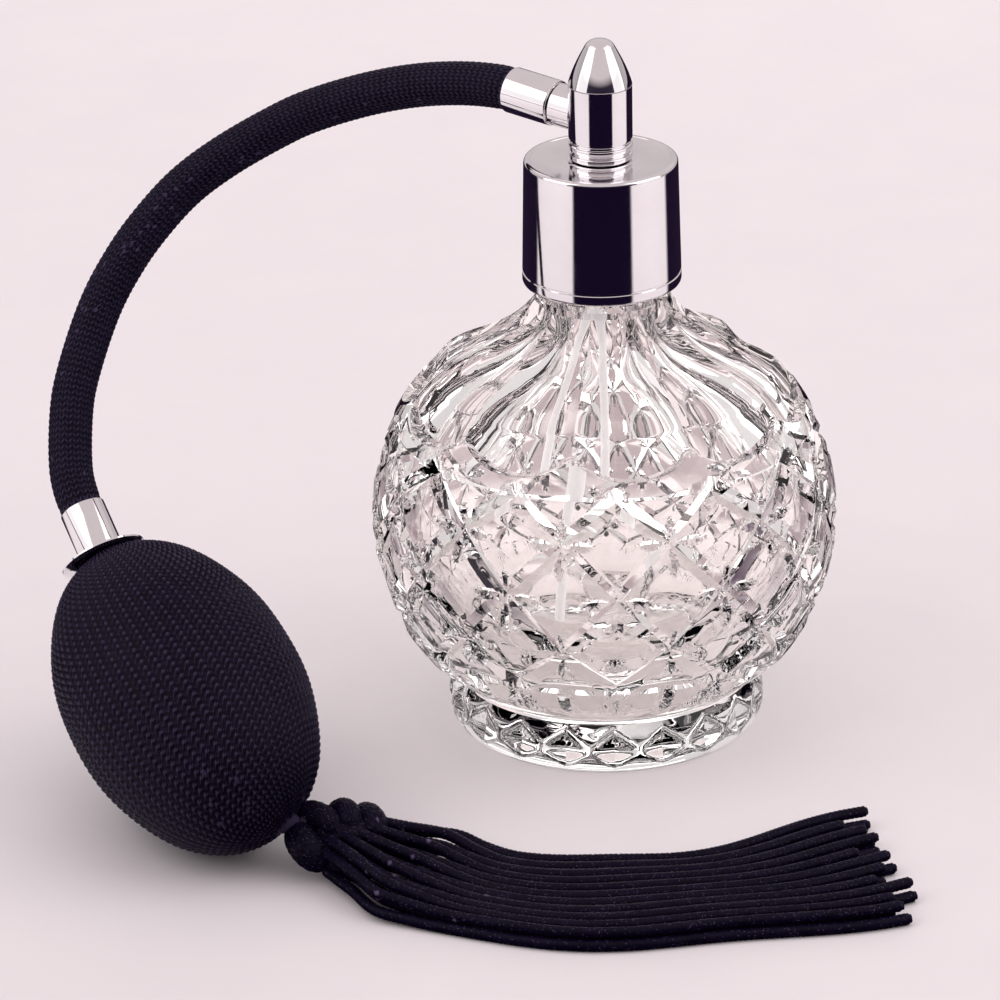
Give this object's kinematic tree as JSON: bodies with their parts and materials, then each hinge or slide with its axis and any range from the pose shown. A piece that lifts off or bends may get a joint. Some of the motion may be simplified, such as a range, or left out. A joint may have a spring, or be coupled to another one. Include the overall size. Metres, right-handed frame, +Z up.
{
  "type": "bulb atomiser perfume bottle",
  "caption": "Cut-glass globe perfume bottle with a chrome screw collar, spray turret, braided air hose, netted squeeze bulb and knitted tassel.",
  "frame": {"origin": "centre of the bottle's flat rest face, on the axis of the glass", "axes": "+Z up along the axis of the glass, -Y towards the viewer, +X to the viewer's right; the squeeze bulb lies at the front left"},
  "size_m": [0.1427, 0.1302, 0.1222],
  "materials": {
    "clear_glass": "clear pressed glass with polished cut facets",
    "polished_chrome": "mirror-polished chrome plate",
    "white_plastic": "moulded polypropylene",
    "clear_plastic": "natural polyethylene tube",
    "soft_rubber": "smooth seal rubber",
    "hose_rubber": "extruded rubber",
    "bulb_rubber": "moulded black rubber",
    "black_braid": "tight braided yarn with fine glints",
    "black_net": "knitted net with fine glints",
    "black_thread": "wound thread",
    "tassel_yarn": "knitted round cord",
    "brass_fitting": "turned brass",
    "steel_ball": "bright bearing ball"
  },
  "bodies": {
    "bottle": {"glass_bottle": "clear_glass"},
    "head": {"sprayer_stem": "white_plastic", "neck_gasket": "soft_rubber", "stem_o_ring": "soft_rubber", "dip_tube": "clear_plastic"},
    "collar": {"collar_shell": "polished_chrome", "collar_insert": "white_plastic"},
    "turret": {"swivel_ring": "polished_chrome", "turret_body": "polished_chrome", "turret_tip": "polished_chrome", "nozzle_insert": "brass_fitting", "hose_nipple": "polished_chrome", "upper_ferrule": "polished_chrome", "hose_core": "hose_rubber", "hose_sleeve": "black_braid", "lower_ferrule": "polished_chrome", "bulb_stem": "polished_chrome", "outlet_valve_body": "brass_fitting", "rubber_bulb": "bulb_rubber", "intake_valve_body": "brass_fitting", "intake_valve_cap": "brass_fitting", "bulb_net": "black_net", "net_binding": "black_thread", "tassel_knot": "tassel_yarn", "tassel_strand_01": "tassel_yarn", "tassel_strand_02": "tassel_yarn", "tassel_strand_03": "tassel_yarn", "tassel_strand_04": "tassel_yarn", "tassel_strand_05": "tassel_yarn", "tassel_strand_06": "tassel_yarn", "tassel_strand_07": "tassel_yarn", "tassel_strand_08": "tassel_yarn", "tassel_strand_09": "tassel_yarn", "tassel_strand_10": "tassel_yarn", "tassel_strand_11": "tassel_yarn", "tassel_strand_12": "tassel_yarn", "tassel_strand_13": "tassel_yarn", "tassel_strand_14": "tassel_yarn", "tassel_strand_15": "tassel_yarn", "tassel_strand_16": "tassel_yarn", "tassel_strand_17": "tassel_yarn", "tassel_strand_18": "tassel_yarn", "tassel_strand_19": "tassel_yarn", "tassel_strand_20": "tassel_yarn", "tassel_strand_21": "tassel_yarn", "tassel_strand_22": "tassel_yarn"},
    "thumb": {"bulb_thumb_wall": "bulb_rubber"},
    "outlet_ball": {"outlet_valve_ball": "steel_ball"},
    "intake_ball": {"intake_valve_ball": "steel_ball"}
  },
  "joints": [
    {"name": "head_lift", "type": "slide", "parent": "bottle", "child": "head", "axis": [0, 0, 1], "range_m": [0, 0.0045]},
    {"name": "collar_turn", "type": "hinge", "parent": "head", "child": "collar", "pos_m": [0, 0, 0.09], "axis": [0, 0, 1], "range_deg": [0, 540]},
    {"name": "turret_swivel", "type": "hinge", "parent": "head", "child": "turret", "pos_m": [0, 0, 0.1], "axis": [0, 0, 1], "continuous": true},
    {"name": "bulb_squeeze", "type": "slide", "parent": "turret", "child": "thumb", "axis": [-0.1316, 0.2796, -0.9511], "range_m": [0, 0.01], "stiffness_N_per_m": 1200},
    {"name": "outlet_ball_lift", "type": "slide", "parent": "turret", "child": "outlet_ball", "axis": [-0.391, 0.6209, 0.6794], "range_m": [0, 0.0012]},
    {"name": "intake_ball_lift", "type": "slide", "parent": "turret", "child": "intake_ball", "axis": [-0.4049, 0.8605, 0.309], "range_m": [0, 0.0012]}
  ],
  "couplings": [
    {"joint": "collar_turn", "follows": "head_lift", "rad_per_m": 2094.4}
  ]
}
